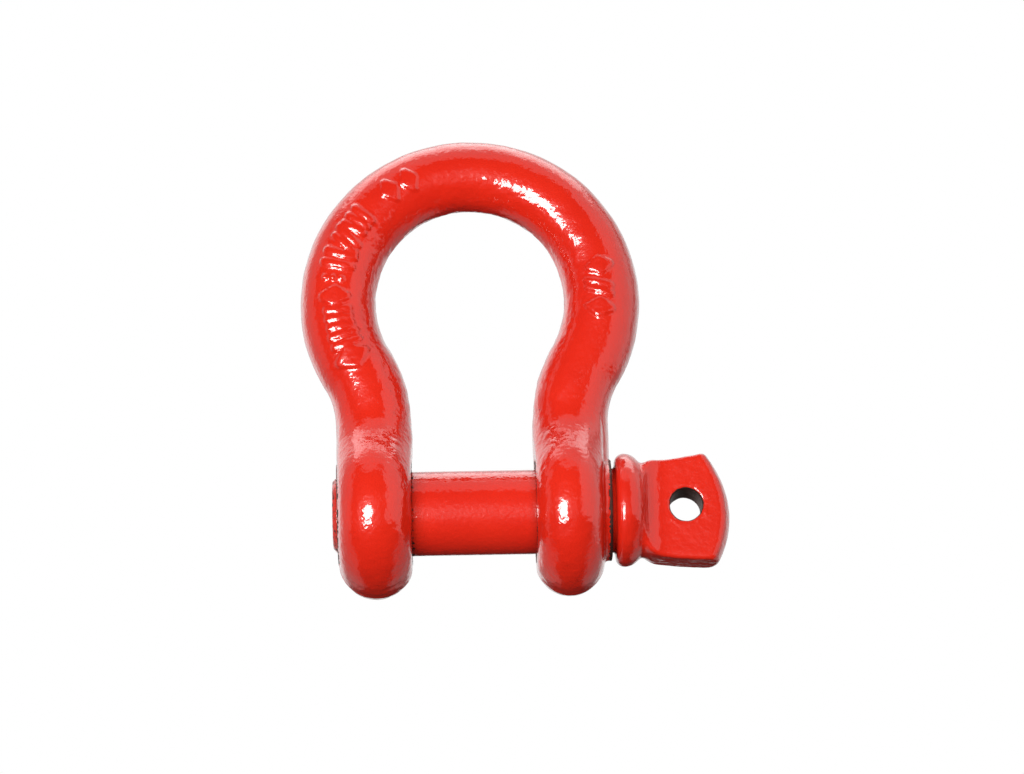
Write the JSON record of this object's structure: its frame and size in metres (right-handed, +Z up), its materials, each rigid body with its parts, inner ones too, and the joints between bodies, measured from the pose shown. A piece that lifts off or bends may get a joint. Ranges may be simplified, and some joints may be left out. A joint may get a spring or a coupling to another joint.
{
  "type": "screw pin bow shackle",
  "caption": "Red painted screw pin bow shackle: a forged bow with two eyes, closed by a threaded pin with a collar and a flat drilled lug.",
  "frame": {"origin": "on the crown's inner face, in the middle of the bow's depth, where a hook bears when the shackle hangs", "axes": "+Z up from the pin to the crown, +X along the pin from its thread to its lug, +Y from the front to the back"},
  "size_m": [0.0949, 0.038, 0.1052],
  "materials": {
    "bow_paint": "glossy",
    "shank_paint": "glossy",
    "head_paint": "glossy",
    "thread_paint": "glossy"
  },
  "bodies": {
    "bow": {"bow": "bow_paint"},
    "pin_slide": {"pin_shank": "shank_paint"},
    "pin": {"pin_head": "head_paint", "pin_thread": "thread_paint"}
  },
  "joints": [
    {"name": "pin_travel", "type": "slide", "parent": "bow", "child": "pin_slide", "axis": [1, 0, 0], "range_m": [0, 0.065]},
    {"name": "pin_turn", "type": "hinge", "parent": "pin_slide", "child": "pin", "pos_m": [0, 0, -0.06985], "axis": [1, 0, 0], "range_deg": [0, 9213]}
  ],
  "couplings": [
    {"joint": "pin_turn", "follows": "pin_travel", "rad_per_m": 2473.7}
  ]
}
